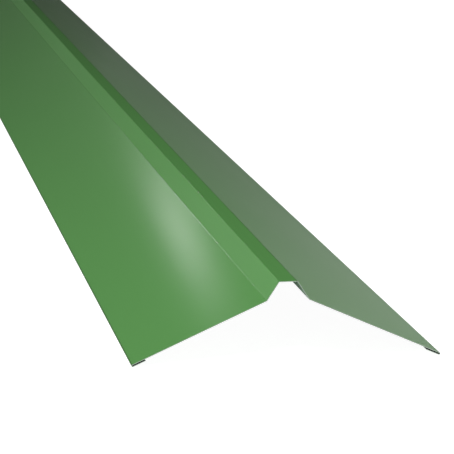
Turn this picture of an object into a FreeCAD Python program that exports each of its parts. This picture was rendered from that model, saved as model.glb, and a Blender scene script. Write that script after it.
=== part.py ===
"""Ridge cap: one strip of coated steel, folded along its length to sit over the ridge of a roof.

The cross-section is mirrored about the ridge: a level crest, a steep web down each side of it, a
wide sloping flange, and an open hem turned back under the flange's outer edge. The length runs
along Y, the ridge points up Z, and the cap stands on the rounded folds of its two hems at Z = 0.
"""
import FreeCAD, Part
import math
import os

import Sketcher

# Driving sizes in millimetres and degrees. Widths belong to the weather side and run between the
# sharp corners where its flat faces would meet, as on a folding drawing.
SIZES = {
    "cap_length": (3000.0, "length of the cap along the ridge"),
    "sheet_thickness": (0.5, "thickness of the coated steel"),
    "crest_width": (15.0, "level strip along the top"),
    "web_width": (18.0, "steep strip between the crest and a flange"),
    "web_slope": (57.0, "fall of a web below the level, degrees"),
    "flange_width": (118.0, "from the valley to the outermost point of the hem fold"),
    "flange_slope": (24.0, "fall of a flange below the level, degrees"),
    "bend_radius": (1.0, "inside radius of the crest and valley bends"),
    "hem_depth": (12.0, "how far the hem is turned back under the flange"),
    "hem_gap": (1.0, "clear space between the flange and the hem leaf"),
}

# Numbers that stand for the points of a line or an arc, and for the section's two axes.
START, END, CENTRE = range(1, 4)
H_AXIS, V_AXIS = range(-1, -3, -1)

# Places of the pieces along one face of the sheet, from the ridge outwards.
CREST, CREST_BEND, WEB, VALLEY_BEND, FLANGE, FOLD, LEAF = range(7)
# Which end of each bend lies nearer the ridge. Arcs run anticlockwise.
BEND_ENDS = {CREST_BEND: (END, START), VALLEY_BEND: (START, END), FOLD: (END, START)}


def make_sheet(document):
    """Writes the driving sizes into a spreadsheet, one aliased cell each."""
    sheet = document.addObject("Spreadsheet::Sheet", "Sizes")
    for row, (alias, (value, meaning)) in enumerate(SIZES.items(), start=1):
        sheet.set(f"A{row}", meaning)
        sheet.set(f"B{row}", str(value))
        sheet.setAlias(f"B{row}", alias)
    document.recompute()
    return sheet


def direction(degrees):
    """Unit vector at an angle in the plane of the section."""
    angle = math.radians(degrees)
    return FreeCAD.Vector(math.cos(angle), math.sin(angle), 0)


def bend(centre, radius, low, high):
    """The arc from the direction low to the direction high, in degrees."""
    circle = Part.Circle(centre, FreeCAD.Vector(0, 0, 1), radius)
    return Part.ArcOfCircle(circle, math.radians(low), math.radians(high))


def bend_centre(corner, fall_before, fall_after, radius):
    """Centre of the bend that rounds a sharp corner of the weather side.

    The radius is the bend's on that side: above zero with the centre over the sheet, as in a
    valley, and below zero with the centre under it, as at the crest.
    """
    half_turn = math.radians(fall_after - fall_before) / 2
    return corner + direction(90 - (fall_before + fall_after) / 2) * (radius / math.cos(half_turn))


def section_pieces(sheet):
    """The +X half of the section's outline: the lines and arcs of both faces, and its corners."""
    thickness = sheet.sheet_thickness
    web_fall, flange_fall = sheet.web_slope, sheet.flange_slope
    outside = sheet.bend_radius + thickness
    fold_inside = sheet.hem_gap / 2
    fold_outside = fold_inside + thickness
    along_flange = direction(-flange_fall)
    off_crest, off_web, off_flange = (direction(90 - fall) for fall in (0, web_fall, flange_fall))

    crest_corner = FreeCAD.Vector(sheet.crest_width / 2, 0, 0)
    valley_corner = crest_corner + direction(-web_fall) * sheet.web_width
    fold_centre = (
        valley_corner
        + along_flange * (sheet.flange_width - fold_outside)
        - off_flange * fold_outside
    )
    lift = FreeCAD.Vector(0, fold_outside - fold_centre.y, 0)
    crest_corner, valley_corner, fold_centre = (
        point + lift for point in (crest_corner, valley_corner, fold_centre)
    )
    crest_centre = bend_centre(crest_corner, 0, web_fall, -outside)
    valley_centre = bend_centre(valley_corner, web_fall, flange_fall, sheet.bend_radius)
    leaf = along_flange * (fold_outside - sheet.hem_depth)

    def face(crest_radius, valley_radius, fold_radius):
        """One face of the sheet, from the ridge to the cut edge of the hem."""
        crest_end = crest_centre + off_crest * crest_radius
        leaf_start = fold_centre - off_flange * fold_radius
        return [
            Part.LineSegment(FreeCAD.Vector(0, crest_end.y, 0), crest_end),
            bend(crest_centre, crest_radius, 90 - web_fall, 90),
            Part.LineSegment(
                crest_centre + off_web * crest_radius, valley_centre - off_web * valley_radius
            ),
            bend(valley_centre, valley_radius, 270 - web_fall, 270 - flange_fall),
            Part.LineSegment(
                valley_centre - off_flange * valley_radius, fold_centre + off_flange * fold_radius
            ),
            bend(fold_centre, fold_radius, -90 - flange_fall, 90 - flange_fall),
            Part.LineSegment(leaf_start, leaf_start + leaf),
        ]

    weather = face(outside, sheet.bend_radius, fold_outside)
    under = face(sheet.bend_radius, outside, fold_inside)
    return weather, under, crest_corner, valley_corner


def draw_section(body, sheet):
    """Draws the +X half of the section and binds every size of it to the spreadsheet."""
    sketch = body.newObject("Sketcher::SketchObject", "HalfSection")
    upright = next(plane for plane in body.Origin.OriginFeatures if plane.Role == "XZ_Plane")
    sketch.AttachmentSupport = [(upright, "")]
    sketch.MapMode = "FlatFace"

    weather_pieces, under_pieces, crest_corner, valley_corner = section_pieces(sheet)
    weather = [sketch.addGeometry(piece) for piece in weather_pieces]
    under = [sketch.addGeometry(piece) for piece in under_pieces]
    ridge_line = Part.LineSegment(under_pieces[CREST].StartPoint, weather_pieces[CREST].StartPoint)
    ridge_end = sketch.addGeometry(ridge_line)
    cut_line = Part.LineSegment(weather_pieces[LEAF].EndPoint, under_pieces[LEAF].EndPoint)
    cut_edge = sketch.addGeometry(cut_line)
    crest_point = sketch.addGeometry(Part.Point(crest_corner), True)
    valley_point = sketch.addGeometry(Part.Point(valley_corner), True)

    def tie(kind, *parts):
        """Adds one constraint and gives its number."""
        return sketch.addConstraint(Sketcher.Constraint(kind, *parts))

    def size(name, formula, kind, *parts):
        """Adds a dimension at its drawn value, names it and binds it to the spreadsheet."""
        index = tie(kind, *parts)
        sketch.renameConstraint(index, name)
        sketch.setExpression(f"Constraints.{name}", formula)

    for face in (weather, under):
        for place, (near, far) in BEND_ENDS.items():
            tie("Tangent", face[place - 1], END, face[place], near)
            tie("Tangent", face[place], far, face[place + 1], START)
        tie("Horizontal", face[CREST])
        tie("Parallel", face[FLANGE], face[LEAF])
    for place in BEND_ENDS:
        tie("Coincident", weather[place], CENTRE, under[place], CENTRE)
    for place in (WEB, FLANGE):
        tie("Parallel", weather[place], under[place])

    for end, face in ((START, under), (END, weather)):
        tie("Coincident", ridge_end, end, face[CREST], START)
        tie("PointOnObject", ridge_end, end, V_AXIS)
    for end, face in ((START, weather), (END, under)):
        tie("Coincident", cut_edge, end, face[LEAF], END)
    tie("Perpendicular", cut_edge, weather[LEAF])
    for corner, before, after in ((crest_point, CREST, WEB), (valley_point, WEB, FLANGE)):
        tie("PointOnObject", corner, START, weather[before])
        tie("PointOnObject", corner, START, weather[after])

    fold_inside = sheet.hem_gap / 2
    fold_outside = fold_inside + sheet.sheet_thickness
    fold_reach = "(Sizes.sheet_thickness + Sizes.hem_gap / 2)"
    size("sheet", "Sizes.sheet_thickness",
         "DistanceY", ridge_end, START, ridge_end, END, sheet.sheet_thickness)
    size("half_crest", "Sizes.crest_width / 2",
         "DistanceX", H_AXIS, START, crest_point, START, sheet.crest_width / 2)
    size("web", "Sizes.web_width",
         "Distance", crest_point, START, valley_point, START, sheet.web_width)
    size("flange_to_fold", f"Sizes.flange_width - {fold_reach}",
         "Distance", valley_point, START, weather[FLANGE], END, sheet.flange_width - fold_outside)
    size("leaf", f"Sizes.hem_depth - {fold_reach}",
         "Distance", weather[LEAF], START, weather[LEAF], END, sheet.hem_depth - fold_outside)
    size("web_angle", "-Sizes.web_slope * 1 deg",
         "Angle", weather[WEB], math.radians(-sheet.web_slope))
    size("flange_angle", "-Sizes.flange_slope * 1 deg",
         "Angle", weather[FLANGE], math.radians(-sheet.flange_slope))
    size("crest_bend", "Sizes.bend_radius", "Radius", under[CREST_BEND], sheet.bend_radius)
    size("valley_bend", "Sizes.bend_radius", "Radius", weather[VALLEY_BEND], sheet.bend_radius)
    size("fold_bend", "Sizes.hem_gap / 2", "Radius", under[FOLD], fold_inside)
    size("fold_height", fold_reach,
         "DistanceY", H_AXIS, START, weather[FOLD], CENTRE, fold_outside)
    return sketch


def make_ridge_cap(document, sheet):
    """Extrudes the half section along the ridge and mirrors it to the other slope."""
    body = document.addObject("PartDesign::Body", "RidgeCap")
    body.Label = "ridge_cap"
    sketch = draw_section(body, sheet)
    document.recompute()

    half = body.newObject("PartDesign::Pad", "HalfCap")
    half.Profile = sketch
    half.SideType = "Symmetric"
    half.setExpression("Length", "Sizes.cap_length")
    document.recompute()

    whole = body.newObject("PartDesign::Mirrored", "WholeCap")
    whole.Originals = [half]
    whole.MirrorPlane = (sketch, ["V_Axis"])
    body.Tip = whole
    document.recompute()
    return body, sketch


def check(document, body, sketch):
    """Stops if the section or a feature failed, or if the cap isn't one whole solid."""
    failed = [item.Name for item in document.Objects if {"Invalid", "Error"} & set(item.State)]
    if failed:
        raise RuntimeError(f"features that failed: {failed}")
    if sketch.solve() != 0 or not sketch.FullyConstrained:
        raise RuntimeError("the section isn't solved and fully tied")
    shape = body.Shape
    if shape.isNull() or not shape.isValid() or len(shape.Solids) != 1:
        raise RuntimeError("the cap isn't one valid solid")


def main():
    """Builds the cap, checks it and writes its solid."""
    document = FreeCAD.newDocument("RidgeCap")
    sheet = make_sheet(document)
    body, sketch = make_ridge_cap(document, sheet)
    check(document, body, sketch)
    os.makedirs("parts", exist_ok=True)
    body.Shape.exportStep(f"parts/{body.Label}.step")
    box = body.Shape.BoundBox
    girth = body.Shape.Volume / sheet.sheet_thickness / sheet.cap_length
    print(f"{body.Label}: {box.XLength:.2f} x {box.YLength:.2f} x {box.ZLength:.2f} mm,")
    print(f"lowest point {box.ZMin:.4f} mm, flat strip {girth:.1f} mm wide")


main()
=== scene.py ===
"""Roof ridge cap of coated steel, dressed for its portrait.

The cap is one strip of thin sheet: a level crest, a steep web down each side of it, a wide flange
and an open hem turned back under the flange's outer edge. It lies on a pale studio floor among soft
lamps, with the ridge running away from the camera along +Y.
"""
import logging
import math
from dataclasses import dataclass
from enum import Enum, IntEnum

import bpy
import numpy as np
from mathutils import Matrix, Vector


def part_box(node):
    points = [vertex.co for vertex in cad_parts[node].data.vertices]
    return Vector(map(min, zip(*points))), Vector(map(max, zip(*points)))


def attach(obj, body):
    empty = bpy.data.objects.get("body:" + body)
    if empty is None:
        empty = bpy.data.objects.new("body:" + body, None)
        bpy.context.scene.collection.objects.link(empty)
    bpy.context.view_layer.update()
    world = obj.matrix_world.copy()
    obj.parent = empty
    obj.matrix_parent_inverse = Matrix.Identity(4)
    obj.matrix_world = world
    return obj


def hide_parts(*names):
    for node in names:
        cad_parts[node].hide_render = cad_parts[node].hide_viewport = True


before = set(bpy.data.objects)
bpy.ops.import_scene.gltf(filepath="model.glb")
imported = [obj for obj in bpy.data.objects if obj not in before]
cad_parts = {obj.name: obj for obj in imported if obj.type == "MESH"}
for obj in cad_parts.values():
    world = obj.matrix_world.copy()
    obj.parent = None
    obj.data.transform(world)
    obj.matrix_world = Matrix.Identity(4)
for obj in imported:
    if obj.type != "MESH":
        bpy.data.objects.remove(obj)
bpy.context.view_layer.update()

log = logging.getLogger("ridge_cap")

MM = 0.001
ROUNDING = 1e-9

# Sockets of a Mix node that blends colours.
MIX_SHARE, MIX_LOW, MIX_HIGH, MIX_RESULT = 0, 6, 7, 2

# Linear red, green and blue, without and with alpha.
Colour = tuple[float, float, float]
Shade = tuple[float, float, float, float]


class Side(IntEnum):
    """Kinds of surface on the sheet, in the order of its material slots."""

    WEATHER = 0
    BACK = 1
    CUT = 2


class Stretch(IntEnum):
    """Stretches of each half of the strip, from the ridge outwards."""

    CREST = 0
    CREST_BEND = 1
    WEB = 2
    VALLEY_BEND = 3
    FLANGE = 4
    FOLD = 5
    LEAF = 6


class Reach(Enum):
    """What a lamp lights: the whole finish, or its gloss alone."""

    ALL = "all"
    GLOSS = "gloss"


# Shader graphs


class Signal:
    """One output socket of a shader graph, which can stand in a Python expression."""

    def __init__(self, graph: "Graph", socket: bpy.types.NodeSocket) -> None:
        """Keeps the graph that new nodes go into, and the socket."""
        self.graph = graph
        self.socket = socket

    def _math(self, operation: str, first: object, second: object) -> "Signal":
        """Adds one Math node.

        Args:
            operation: the Math node's operation.
            first: the upper value, a number or a signal.
            second: the lower value, a number or a signal.

        Returns:
            The node's value.
        """
        return self.graph.node("Math", {"operation": operation}, {0: first, 1: second})

    def __add__(self, other: object) -> "Signal":
        """self + other."""
        return self._math("ADD", self, other)

    __radd__ = __add__

    def __sub__(self, other: object) -> "Signal":
        """self - other."""
        return self._math("SUBTRACT", self, other)

    def __rsub__(self, other: object) -> "Signal":
        """other - self."""
        return self._math("SUBTRACT", other, self)

    def __mul__(self, other: object) -> "Signal":
        """self * other."""
        return self._math("MULTIPLY", self, other)

    __rmul__ = __mul__

    def __gt__(self, other: object) -> "Signal":
        """1 where self is above other, else 0."""
        return self._math("GREATER_THAN", self, other)

    def __lt__(self, other: object) -> "Signal":
        """1 where self is below other, else 0."""
        return self._math("LESS_THAN", self, other)

    def larger(self, other: object) -> "Signal":
        """The larger of self and other."""
        return self._math("MAXIMUM", self, other)


@dataclass(frozen=True)
class Grain:
    """A soft noise: its coordinates' stretch along each axis, its scale and its detail."""

    stretch: tuple[float, float, float]
    scale: float
    detail: float


class Graph:
    """The node tree of a material or of the world, cleared and ready to be filled."""

    def __init__(self, owner: bpy.types.Material | bpy.types.World) -> None:
        """Starts the owner's tree afresh."""
        owner.use_nodes = True
        self.tree = owner.node_tree
        self.tree.nodes.clear()

    def node(self, kind: str, settings: dict | None = None, sockets: dict | None = None,
             out: int | str = 0) -> Signal:
        """Adds one shader node.

        Args:
            kind: the node's type without its ShaderNode prefix.
            settings: the node's own properties, set first.
            sockets: a value or a signal for each input that is set.
            out: which output is given back.

        Returns:
            The chosen output.
        """
        node = self.tree.nodes.new("ShaderNode" + kind)
        for name, value in (settings or {}).items():
            setattr(node, name, value)
        for key, value in (sockets or {}).items():
            if isinstance(value, Signal):
                self.tree.links.new(value.socket, node.inputs[key])
            else:
                node.inputs[key].default_value = value
        return Signal(self, node.outputs[out])

    def output(self, kind: str, surface: Signal) -> None:
        """Ends the tree in its Material or World output."""
        node = self.tree.nodes.new("ShaderNode" + kind)
        self.tree.links.new(surface.socket, node.inputs["Surface"])

    def attribute(self, name: str) -> Signal:
        """The value of one of the mesh's attributes."""
        return self.node("Attribute", {"attribute_name": name}, None, "Fac")

    def noise(self, grain: Grain) -> Signal:
        """Noise between 0 and 1 on the piece's own coordinates."""
        here = self.node("TexCoord", None, None, "Object")
        place = self.node("Mapping", None, {"Vector": here, "Scale": grain.stretch})
        sockets = {"Vector": place, "Scale": grain.scale, "Detail": grain.detail}
        return self.node("TexNoise", {"noise_dimensions": "3D"}, sockets, "Fac")

    def mix(self, share: Signal, low: Signal | Shade, high: Signal | Shade) -> Signal:
        """Blends two colours: low where share is 0, high where it is 1."""
        sockets = {MIX_SHARE: share, MIX_LOW: low, MIX_HIGH: high}
        return self.node("Mix", {"data_type": "RGBA"}, sockets, MIX_RESULT)


def tinted(colour: Colour, gain: float) -> Shade:
    """The colour made lighter or darker by a factor, with full alpha."""
    return (colour[0] * gain, colour[1] * gain, colour[2] * gain, 1.0)


def grey(level: float) -> Shade:
    """The neutral colour of a level, with full alpha."""
    return (level, level, level, 1.0)


# Finishes


@dataclass(frozen=True)
class WeatherCoat:
    """Satin green coil coating of the outer side."""

    colour: Colour = (0.085, 0.255, 0.065)
    drift: float = 0.02
    # Factor of the painted shade that darkens the colour at the hems' folds and the right crest bend.
    painted_shade_tone: float = 0.5
    roughness: float = 0.5
    roughness_drift: float = 0.06
    specular: float = 0.1
    coat: float = 0.1
    coat_roughness: float = 0.15
    cloud: Grain = Grain((1.0, 0.35, 1.0), 9.0, 2.0)
    lines: Grain = Grain((260.0, 0.7, 260.0), 1.0, 3.0)
    lines_share: float = 0.4
    peel: Grain = Grain((1.0, 1.0, 1.0), 620.0, 1.0)
    peel_height: float = 0.004 * MM

    def material(self) -> bpy.types.Material:
        """Makes the paint.

        The tone drifts a little over the sheet's length, and with the fine lines that the
        coating roller leaves along it, and the surface has a faint orange peel. The attribute that
        scales the coat also darkens the colour into a painted shade where it is below 1, at the
        hems' folds and the right crest bend.

        Returns:
            The new material.
        """
        material = bpy.data.materials.new("weather_coat")
        graph = Graph(material)
        sheen_and_shade = graph.attribute("sheen_and_shade")
        cloud = graph.noise(self.cloud)
        lines = graph.noise(self.lines)
        tone = cloud * (1 - self.lines_share) + lines * self.lines_share
        darker, lighter = tinted(self.colour, 1 - self.drift), tinted(self.colour, 1 + self.drift)
        colour = graph.mix(tone, darker, lighter)
        # Painted shade: the colour darkens where the gloss factor is below 1, at the hems' folds and
        # the right crest bend.
        colour = graph.mix(sheen_and_shade, tinted(self.colour, self.painted_shade_tone), colour)
        peel = graph.noise(self.peel)
        bump = graph.node("Bump", None, {
            "Height": peel, "Distance": self.peel_height, "Strength": 1.0})
        surface = graph.node("BsdfPrincipled", None, {
            "Base Color": colour,
            "Roughness": self.roughness + self.roughness_drift * (cloud - 0.5),
            "Specular IOR Level": self.specular,
            "Coat Weight": self.coat * sheen_and_shade,
            "Coat Roughness": self.coat_roughness,
            "Normal": bump,
        })
        graph.output("OutputMaterial", surface)
        return material


@dataclass(frozen=True)
class BackCoat:
    """Thin matt grey-green coat of the under side, with a painted shade inside the hems."""

    colour: Colour = (0.30, 0.46, 0.32)
    drift: float = 0.07
    # Factor of the painted shade inside the hems.
    hem_painted_shade: float = 0.15
    roughness: float = 0.75
    roughness_drift: float = 0.1
    specular: float = 0.0
    cloud: Grain = Grain((1.0, 0.4, 1.0), 14.0, 3.0)
    lines: Grain = Grain((340.0, 0.9, 340.0), 1.0, 3.0)
    lines_share: float = 0.6

    def material(self) -> bpy.types.Material:
        """Makes the coat, with the faint cloudiness and roller lines of a thin layer.

        The attribute read here is 1 on the open under side and 0 inside the hems, where the colour is
        darkened into a painted shade.

        Returns:
            The new material.
        """
        material = bpy.data.materials.new("back_coat")
        graph = Graph(material)
        open_side = graph.attribute("sheen_and_shade")
        cloud = graph.noise(self.cloud)
        lines = graph.noise(self.lines)
        tone = cloud * (1 - self.lines_share) + lines * self.lines_share
        darker, lighter = tinted(self.colour, 1 - self.drift), tinted(self.colour, 1 + self.drift)
        colour = graph.mix(tone, darker, lighter)
        # Painted shade: the colour darkens inside the hems.
        colour = graph.mix(open_side, tinted(self.colour, self.hem_painted_shade), colour)
        surface = graph.node("BsdfPrincipled", None, {
            "Base Color": colour,
            "Roughness": self.roughness + self.roughness_drift * (cloud - 0.5),
            "Specular IOR Level": self.specular,
        })
        graph.output("OutputMaterial", surface)
        return material


@dataclass(frozen=True)
class CutEdge:
    """Sheared edge of the sheet: a film of paint, zinc smeared over steel, a film of back coat."""

    steel: Colour = (0.45, 0.52, 0.45)
    zinc: Colour = (0.38, 0.45, 0.39)
    drift: float = 0.04
    metallic: float = 0.8
    roughness: float = 0.35
    burr_roughness: float = 0.15
    burr: Grain = Grain((1.0, 1.0, 1.0), 900.0, 2.0)
    film: float = 0.05

    def material(self) -> bpy.types.Material:
        """Makes the edge from the depth attribute, 0 at the paint and 1 at the back coat.

        Returns:
            The new material.
        """
        material = bpy.data.materials.new("cut_edge")
        graph = Graph(material)
        depth = graph.attribute("depth")
        burr = graph.noise(self.burr)
        metal = graph.mix(burr, tinted(self.zinc, 1 - self.drift), tinted(self.steel, 1 + self.drift))
        painted = depth < self.film
        backed = depth > 1 - self.film
        colour = graph.mix(painted, metal, tinted(WeatherCoat().colour, 1.0))
        colour = graph.mix(backed, colour, tinted(BackCoat().colour, 1.0))
        surface = graph.node("BsdfPrincipled", None, {
            "Base Color": colour,
            "Metallic": (1 - painted.larger(backed)) * self.metallic,
            "Roughness": burr * self.burr_roughness + self.roughness,
        })
        graph.output("OutputMaterial", surface)
        return material


# The folded strip


@dataclass(frozen=True)
class Run:
    """One stretch of the strip's mid-line: flat where its turn is 0, and round elsewhere.

    Its stations are spread evenly, and a flat run has one more close to each of its ends, so that
    shading doesn't leak from the bends into the flats. Its gloss on the left and on the right half
    is a multiple of the flats'; below 1 it also darkens the paint into a painted shade along the
    bend.
    """

    length: float
    turn: float
    steps: int
    sheen_and_shade: tuple[float, float] = (1.0, 1.0)
    margin: float = 0.35 * MM

    def stations(self) -> np.ndarray:
        """Distances of the run's stations from its start, without the start itself."""
        if self.turn:
            return np.linspace(0.0, self.length, self.steps + 1)[1:]
        inner = np.linspace(self.margin, self.length - self.margin, self.steps)
        return np.append(inner, self.length)


def mirrored(right: np.ndarray, sign: int) -> np.ndarray:
    """Puts the left half's numbers before the right half's: sign times them, in reverse order."""
    return np.concatenate([sign * right[:0:-1], right])


@dataclass
class FoldedSheet:
    """The cap's one strip of steel. Widths run between the sharp corners of the weather side."""

    length: float
    flange_reach: float
    top: float
    thickness: float = 0.5 * MM
    crest_width: float = 15.0 * MM
    web_width: float = 18.0 * MM
    web_slope: float = math.radians(57.0)
    flange_slope: float = math.radians(24.0)
    bend_inside: float = 1.0 * MM
    hem_gap: float = 1.0 * MM
    hem_depth: float = 12.0 * MM
    rows: int = 97
    sharp_angle: float = math.radians(40.0)
    ripple: float = 0.05 * MM
    ripple_lengths: tuple[float, float] = (0.83, 1.37)
    ripple_shares: tuple[float, float] = (0.6, 0.4)
    ripple_phases: tuple[float, float] = (0.4, 2.1)
    ripple_phase_gain: float = 2.3
    # Gloss of the bends, left and right, as multiples of the flats'. Below 1 it paints shade: a dark
    # line along the right crest bend and along both hems' folds.
    crest_gloss_and_shade: tuple[float, float] = (1.9, 0.4)
    valley_burnish: tuple[float, float] = (4.0, 4.0)
    fold_gloss_and_shade: tuple[float, float] = (0.0, 0.0)
    finishes: tuple[WeatherCoat, BackCoat, CutEdge] = (WeatherCoat(), BackCoat(), CutEdge())

    @classmethod
    def from_frame(cls, node: str) -> "FoldedSheet":
        """Takes the length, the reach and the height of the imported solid.

        Args:
            node: the CAD node that the sheet stands for.

        Returns:
            A sheet that fills the same box.
        """
        low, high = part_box(node)
        return cls(length=high.y - low.y, flange_reach=high.x, top=high.z)

    def runs(self) -> dict[Stretch, Run]:
        """The mid-line's stretches from the ridge outwards.

        A bend between flats that meet at a turn takes tan(turn/2) of its weather radius from each
        of them. The flange's width follows from the reach: the fold's outermost point is one
        outer radius beyond its centre, which hangs under the end of the flange.

        Returns:
            The stretches of the +X half.
        """
        half = self.thickness / 2
        outer = self.bend_inside + self.thickness
        fold = self.hem_gap / 2 + self.thickness
        valley = self.web_slope - self.flange_slope
        at_crest = outer * math.tan(self.web_slope / 2)
        at_valley = self.bend_inside * math.tan(valley / 2)
        corner = self.crest_width / 2 + self.web_width * math.cos(self.web_slope)
        fold_centre = self.flange_reach - fold
        flange = (fold_centre + fold * math.sin(self.flange_slope) - corner) \
            / math.cos(self.flange_slope)
        mid = self.bend_inside + half
        crest_bend = Run(mid * self.web_slope, -self.web_slope, steps=12, sheen_and_shade=self.crest_gloss_and_shade)
        valley_bend = Run(mid * valley, valley, steps=10, sheen_and_shade=self.valley_burnish)
        fold_bend = Run((fold - half) * math.pi, -math.pi, steps=20, sheen_and_shade=self.fold_gloss_and_shade)
        return {
            Stretch.CREST: Run(self.crest_width / 2 - at_crest, 0.0, steps=3),
            Stretch.CREST_BEND: crest_bend,
            Stretch.WEB: Run(self.web_width - at_crest - at_valley, 0.0, steps=6),
            Stretch.VALLEY_BEND: valley_bend,
            Stretch.FLANGE: Run(flange - at_valley, 0.0, steps=14),
            Stretch.FOLD: fold_bend,
            Stretch.LEAF: Run(self.hem_depth - fold, 0.0, steps=5),
        }

    def start(self, stretch: Stretch) -> float:
        """Distance along the strip from the ridge to the start of a stretch."""
        return sum(run.length for place, run in self.runs().items() if place < stretch)

    def mid_line(self) -> tuple[np.ndarray, np.ndarray, np.ndarray]:
        """The whole section's mid-line, from the left hem's cut edge to the right one's.

        The heading is level at the ridge, changes evenly along each bend and not at all along a
        flat. A step of length d that turns by a has a chord of d * sin(a/2) / (a/2) along the mean
        of its two headings, and the chords' running sum gives the places. The left half mirrors
        the right one.

        Returns:
            Distances along the strip from the ridge, places (x, z), and weather normals (x, z).
        """
        runs = list(self.runs().values())
        starts = np.concatenate([[0.0], np.cumsum([run.length for run in runs])])
        turned = np.concatenate([[0.0], np.cumsum([run.turn for run in runs])])
        along = np.concatenate([[0.0]] + [at + run.stations() for at, run in zip(starts, runs)])
        heading = np.interp(along, starts, turned)
        step, turn = np.diff(along), np.diff(heading)
        middle = heading[:-1] + turn / 2
        chord = step * np.sinc(turn / (2 * np.pi))
        x = np.concatenate([[0.0], np.cumsum(chord * np.cos(middle))])
        z = np.concatenate([[0.0], np.cumsum(chord * np.sin(middle))]) + self.top - self.thickness / 2
        places = np.stack([mirrored(x, -1), mirrored(z, 1)], axis=1)
        normals = np.stack([mirrored(-np.sin(heading), -1), mirrored(np.cos(heading), 1)], axis=1)
        return mirrored(along, -1), places, normals

    def sheen_and_shade(self, along: np.ndarray) -> np.ndarray:
        """Gloss of the weather face at each station, as a multiple of the flats'; below 1 it also
        paints shade into the colour.

        Args:
            along: distances along the strip from the ridge.

        Returns:
            The sheen of the bend that the station lies in or ends, and 1 on the flats.
        """
        value = np.ones_like(along)
        away = np.abs(along)
        for stretch, run in self.runs().items():
            start = self.start(stretch)
            inside = (away > start - ROUNDING) & (away < start + run.length + ROUNDING)
            if run.turn:
                value[inside] = np.where(along[inside] < 0, *run.sheen_and_shade)
        return value

    def open_side(self, along: np.ndarray) -> np.ndarray:
        """Tells the open under side from the inside of the hems, where the back coat paints shade.

        Args:
            along: distances along the strip from the ridge.

        Returns:
            0 where a station lies in a hem or over its leaf, and 1 elsewhere.
        """
        hem = self.start(Stretch.FOLD) - self.runs()[Stretch.LEAF].length
        return np.where(np.abs(along) > hem, 0.0, 1.0)

    def waves(self, along: np.ndarray, y: np.ndarray) -> np.ndarray:
        """How far the flanges stand off their flat, as long sheets of thin steel do.

        Two slow sines along the length, of unlike lengths and phases, times the square of half a
        sine across the flange, which is 0 at the valley and at the hem.

        Args:
            along: distances along the strip, one for each section station.
            y: places along the ridge, one for each row.

        Returns:
            Offsets along the normal, stations by rows.
        """
        flange = self.runs()[Stretch.FLANGE].length
        share = np.clip((np.abs(along) - self.start(Stretch.FLANGE)) / flange, 0.0, 1.0)
        across = np.sin(np.pi * share) ** 2
        phase = np.where(along < 0, *self.ripple_phases)[:, None]
        turns = 2 * np.pi * y[None, :]
        first = np.sin(turns / self.ripple_lengths[0] + phase)
        second = np.sin(turns / self.ripple_lengths[1] + self.ripple_phase_gain * phase)
        mixed = self.ripple_shares[0] * first + self.ripple_shares[1] * second
        return self.ripple * across[:, None] * mixed

    def surface(self, offset: float) -> np.ndarray:
        """One face of the sheet, over the way along the strip and along the ridge.

        Each point is its mid-line place, moved along the weather normal by the offset and the
        sheet's slight waves.

        Args:
            offset: distance from the mid-line, above 0 towards the weather.

        Returns:
            Points, stations by rows by 3.
        """
        along, places, normals = self.mid_line()
        y = np.linspace(-self.length / 2, self.length / 2, self.rows)
        lift = self.waves(along, y) + offset
        x = places[:, :1] + normals[:, :1] * lift
        z = places[:, 1:] + normals[:, 1:] * lift
        return np.stack([x, np.broadcast_to(y, x.shape), z], axis=2)

    @staticmethod
    def skin(stations: int, rows: int) -> tuple[np.ndarray, np.ndarray]:
        """Joins the points of both faces, the weather's first, into one closed skin.

        Quads of a grid join each point to its neighbours. Those of the under side run the other
        way round, and the borders of both faces are joined by one strip of quads each.

        Args:
            stations: points across the strip on each face.
            rows: points along the ridge on each face.

        Returns:
            The quads, and the Side that each belongs to.
        """
        up = np.arange(stations * rows).reshape(stations, rows)
        down = up + stations * rows

        def strip(a: np.ndarray, b: np.ndarray) -> np.ndarray:
            """Quads between a border a and the border b under it, facing a's right-hand side."""
            return np.stack([a[:-1], a[1:], b[1:], b[:-1]], axis=1)

        top = np.stack([up[:-1, :-1], up[1:, :-1], up[1:, 1:], up[:-1, 1:]], axis=2).reshape(-1, 4)
        bottom = top[:, ::-1] + stations * rows
        cuts = np.concatenate([
            strip(up[0], down[0]),
            strip(up[-1], down[-1])[:, ::-1],
            strip(up[:, 0], down[:, 0])[:, ::-1],
            strip(up[:, -1], down[:, -1]),
        ])
        side = np.repeat([Side.WEATHER, Side.BACK, Side.CUT], [len(top), len(bottom), len(cuts)])
        return np.concatenate([top, bottom, cuts]), side

    def build(self) -> bpy.types.Object:
        """Makes the closed mesh: both faces, the two hems' cut edges and the two cut ends.

        Its depth attribute is 0 on the weather face and 1 on the under one. Its other attribute holds
        the bends' gloss on the weather face, which paints shade where it is below 1, and on the under
        one marks the inside of the hems, where shade is painted.

        Returns:
            The new object.
        """
        weather, under = self.surface(self.thickness / 2), self.surface(-self.thickness / 2)
        along = self.mid_line()[0]
        stations, rows = weather.shape[:2]
        points = np.concatenate([weather.reshape(-1, 3), under.reshape(-1, 3)])
        faces, side = self.skin(stations, rows)

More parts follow.
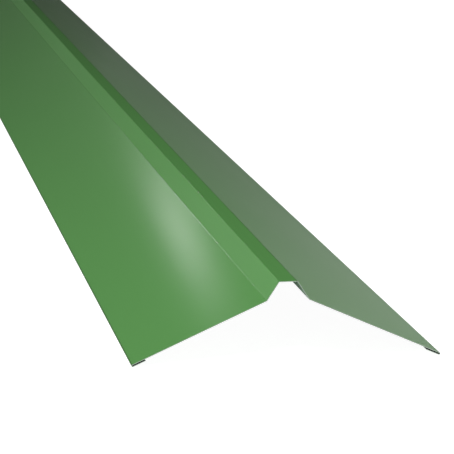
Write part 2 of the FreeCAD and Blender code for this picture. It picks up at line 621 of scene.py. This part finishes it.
        mesh = bpy.data.meshes.new("folded_sheet")
        mesh.from_pydata(points.tolist(), [], faces.tolist())
        mesh.polygons.foreach_set("material_index", side.astype(np.int32))
        depth = np.repeat([0.0, 1.0], stations * rows)
        sheen_and_shade = np.repeat([self.sheen_and_shade(along), self.open_side(along)], rows, axis=1)
        for name, values in (("depth", depth), ("sheen_and_shade", sheen_and_shade)):
            attribute = mesh.attributes.new(name, "FLOAT", "POINT")
            attribute.data.foreach_set("value", values.ravel().astype(np.float32))
        flat = np.stack(np.broadcast_arrays(along[:, None], weather[0, :, 1][None, :]), axis=2)
        flat = np.tile(flat.reshape(-1, 2), (2, 1))
        chart = mesh.uv_layers.new(name="strip")
        chart.data.foreach_set("uv", flat[faces.ravel()].astype(np.float32).ravel())
        mesh.polygons.foreach_set("use_smooth", np.ones(len(faces), dtype=bool))
        mesh.set_sharp_from_angle(angle=self.sharp_angle)
        mesh.update()
        sheet = bpy.data.objects.new("folded_sheet", mesh)
        bpy.context.scene.collection.objects.link(sheet)
        return sheet

    def dress(self, sheet: bpy.types.Object) -> None:
        """Gives the sheet its three finishes and ties it to the frame."""
        for finish in self.finishes:
            sheet.data.materials.append(finish.material())
        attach(sheet, "root")
        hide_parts("ridge_cap")


# The studio


@dataclass(frozen=True)
class SoftLamp:
    """A rectangular soft lamp that the camera doesn't see, turned towards one point."""

    name: str
    place: tuple[float, float, float]
    aim: tuple[float, float, float]
    width: float
    height: float
    power: float
    reach: Reach = Reach.ALL

    def build(self) -> bpy.types.Object:
        """Hangs the lamp.

        Returns:
            The lamp's object.
        """
        data = bpy.data.lights.new(self.name, "AREA")
        data.shape = "RECTANGLE"
        data.size, data.size_y = self.width, self.height
        data.energy = self.power
        lamp = bpy.data.objects.new(self.name, data)
        lamp.location = self.place
        lamp.rotation_mode = "QUATERNION"
        lamp.rotation_quaternion = (Vector(self.aim) - Vector(self.place)).to_track_quat("-Z", "Y")
        lamp.visible_camera = False
        lamp.visible_diffuse = self.reach is Reach.ALL
        bpy.context.scene.collection.objects.link(lamp)
        return lamp


@dataclass(frozen=True)
class Portrait:
    """The camera: where it stands, its heading from +Y towards +X, its fall and its tilt."""

    place: tuple[float, float, float] = (-352.9 * MM, -3220.8 * MM, 454.3 * MM)
    heading: float = math.radians(10.007)
    fall: float = math.radians(11.161)
    tilt: float = math.radians(0.246)
    lens: float = 181.28
    sensor: float = 36.0
    nearest: float = 0.05
    farthest: float = 500.0

    def build(self) -> bpy.types.Object:
        """Sets the camera up and makes it the scene's.

        Its view runs along (sin h cos f, cos h cos f, -sin f) for the heading h and the fall f,
        and its frame is turned about that line by the tilt.

        Returns:
            The camera's object.
        """
        view = Vector((math.sin(self.heading) * math.cos(self.fall),
                       math.cos(self.heading) * math.cos(self.fall),
                       -math.sin(self.fall)))
        level = Vector((math.cos(self.heading), -math.sin(self.heading), 0.0))
        upright = level.cross(view)
        right = level * math.cos(self.tilt) + upright * math.sin(self.tilt)
        up = upright * math.cos(self.tilt) - level * math.sin(self.tilt)
        data = bpy.data.cameras.new("portrait")
        data.lens = self.lens
        data.sensor_width = self.sensor
        data.clip_start, data.clip_end = self.nearest, self.farthest
        camera = bpy.data.objects.new("portrait", data)
        turn = Matrix((right, up, -view)).transposed().to_4x4()
        camera.matrix_world = Matrix.Translation(self.place) @ turn
        bpy.context.scene.collection.objects.link(camera)
        bpy.context.scene.camera = camera
        return camera


@dataclass
class Studio:
    """Pale floor, dim surroundings and soft lamps."""

    floor_half: float = 200.0
    floor_grey: float = 0.8
    floor_glow: float = 0.97
    floor_share: float = 0.4
    surroundings: float = 0.03
    lamps: tuple[SoftLamp, ...] = (
        SoftLamp("key", (-0.588, -2.517, 2.457), (0.0, -0.9, 0.0), 1.2, 1.2, 64.7),
        SoftLamp("side", (-4.164, -1.634, 1.539), (0.0, -0.9, 0.0), 1.2, 1.2, 95.0),
        SoftLamp("low_glint", (-0.28, 4.70, 1.456), (0.0, -1.1, 0.04), 0.12, 0.12, 0.83, Reach.GLOSS),
        SoftLamp("high_glint", (-0.32, 4.70, 1.56), (0.0, -1.1, 0.04), 0.12, 0.12, 1.09, Reach.GLOSS),
        SoftLamp("bend_panel", (-1.013, 3.866, 1.125), (0.0, -0.9, 0.0), 0.3, 0.3, 0.5, Reach.GLOSS),
        SoftLamp("right_panel", (1.6, 1.6, 0.6), (0.1, -1.0, 0.03), 0.8, 0.5, 5.0, Reach.GLOSS),
        SoftLamp("far_panel", (1.2, 3.8, 0.2), (0.1, -1.0, 0.03), 1.0, 0.4, 0.45, Reach.GLOSS),
        SoftLamp("left_panel", (-1.3, 2.4, 0.45), (0.0, -1.3, 0.03), 1.0, 0.6, 1.61),
    )

    def build(self) -> bpy.types.Object:
        """Sets the surroundings, hangs the lamps and lays the floor.

        Returns:
            The floor's object.
        """
        world = bpy.data.worlds.new("surroundings")
        graph = Graph(world)
        sockets = {"Color": grey(self.surroundings), "Strength": 1.0}
        graph.output("OutputWorld", graph.node("Background", None, sockets))
        bpy.context.scene.world = world
        for lamp in self.lamps:
            lamp.build()
        return self.lay_floor()

    def lay_floor(self) -> bpy.types.Object:
        """Makes the floor, white to the camera and to gloss, with the cap's soft shadow on it.

        What they see is a glow and a share of the floor's shading, so that the shadow stays. The
        light that the floor sends back to the cap is that of plain pale paper.

        Returns:
            The floor's object.
        """
        edges = [-self.floor_half, self.floor_half]
        across, along = np.meshgrid(edges, edges)
        corners = np.stack([across.ravel(), along.ravel(), np.zeros(4)], axis=1)
        mesh = bpy.data.meshes.new("studio_floor")
        mesh.from_pydata(corners.tolist(), [], [(0, 1, 3, 2)])
        floor = bpy.data.objects.new("studio_floor", mesh)
        bpy.context.scene.collection.objects.link(floor)

        material = bpy.data.materials.new("floor_paper")
        graph = Graph(material)
        camera, gloss, through = (graph.node("LightPath", None, None, ray) for ray in
                                  ("Is Camera Ray", "Is Glossy Ray", "Is Transmission Ray"))
        shown = camera.larger(gloss).larger(through)
        paper = graph.node("BsdfDiffuse", None, {"Color": grey(self.floor_grey)})
        faint = graph.node("BsdfDiffuse", None, {"Color": grey(self.floor_share)})
        glow = graph.node("Emission", None, {"Color": grey(1.0), "Strength": self.floor_glow})
        white = graph.node("AddShader", None, {0: faint, 1: glow})
        graph.output("OutputMaterial", graph.node("MixShader", None, {0: shown, 1: paper, 2: white}))
        mesh.materials.append(material)
        return floor


def main() -> None:
    """Sets the camera up, then makes the cap and the studio round it."""
    logging.basicConfig(level=logging.INFO, format="%(name)s: %(message)s")
    bpy.context.scene.view_settings.view_transform = "Standard"
    Portrait().build()
    cap = FoldedSheet.from_frame("ridge_cap")
    sheet = cap.build()
    cap.dress(sheet)
    log.info("%s: %d faces, %.0f mm long", sheet.name, len(sheet.data.polygons), cap.length / MM)
    studio = Studio()
    floor = studio.build()
    log.info("%s and %d lamps", floor.name, len(studio.lamps))


if __name__ == "__main__":
    main()
